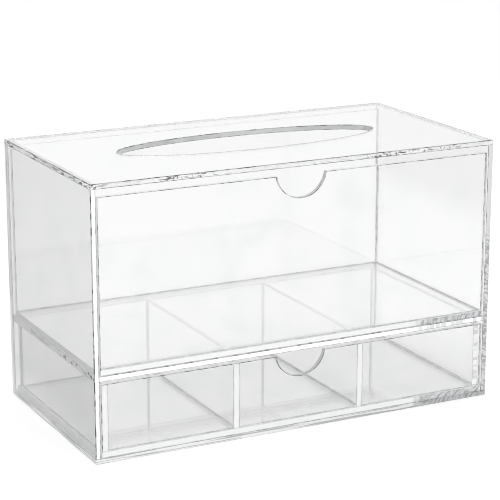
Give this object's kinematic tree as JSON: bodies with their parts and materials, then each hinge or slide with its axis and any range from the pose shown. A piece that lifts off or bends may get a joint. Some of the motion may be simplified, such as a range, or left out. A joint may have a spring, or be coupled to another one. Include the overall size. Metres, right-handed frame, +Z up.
{
  "type": "tissue box holder with drawer",
  "caption": "Clear acrylic box with an oval tissue slot in its top, a pull-out tissue tray and a shallow drawer in compartments below.",
  "frame": {"origin": "under the middle of the case, on the surface that it stands on", "axes": "+X to the right along the width, -Y out of the front where the tray and drawer pull out, +Z up"},
  "size_m": [0.25, 0.13, 0.155],
  "materials": {
    "clear_acrylic": "polished clear acrylic sheet"
  },
  "bodies": {
    "case": {"top_panel": "clear_acrylic", "bottom_panel": "clear_acrylic", "left_side_panel": "clear_acrylic", "right_side_panel": "clear_acrylic", "back_panel": "clear_acrylic", "middle_shelf": "clear_acrylic"},
    "tray": {"tray_floor": "clear_acrylic", "tray_front_panel": "clear_acrylic", "tray_back": "clear_acrylic"},
    "drawer": {"drawer_floor": "clear_acrylic", "drawer_front_panel": "clear_acrylic", "drawer_left_side": "clear_acrylic", "drawer_right_side": "clear_acrylic", "drawer_back": "clear_acrylic", "drawer_divider_1": "clear_acrylic", "drawer_divider_2": "clear_acrylic"}
  },
  "joints": [
    {"name": "tray_slide", "type": "slide", "parent": "case", "child": "tray", "axis": [0, -1, 0], "range_m": [0, 0.1]},
    {"name": "drawer_slide", "type": "slide", "parent": "case", "child": "drawer", "axis": [0, -1, 0], "range_m": [0, 0.1]}
  ]
}
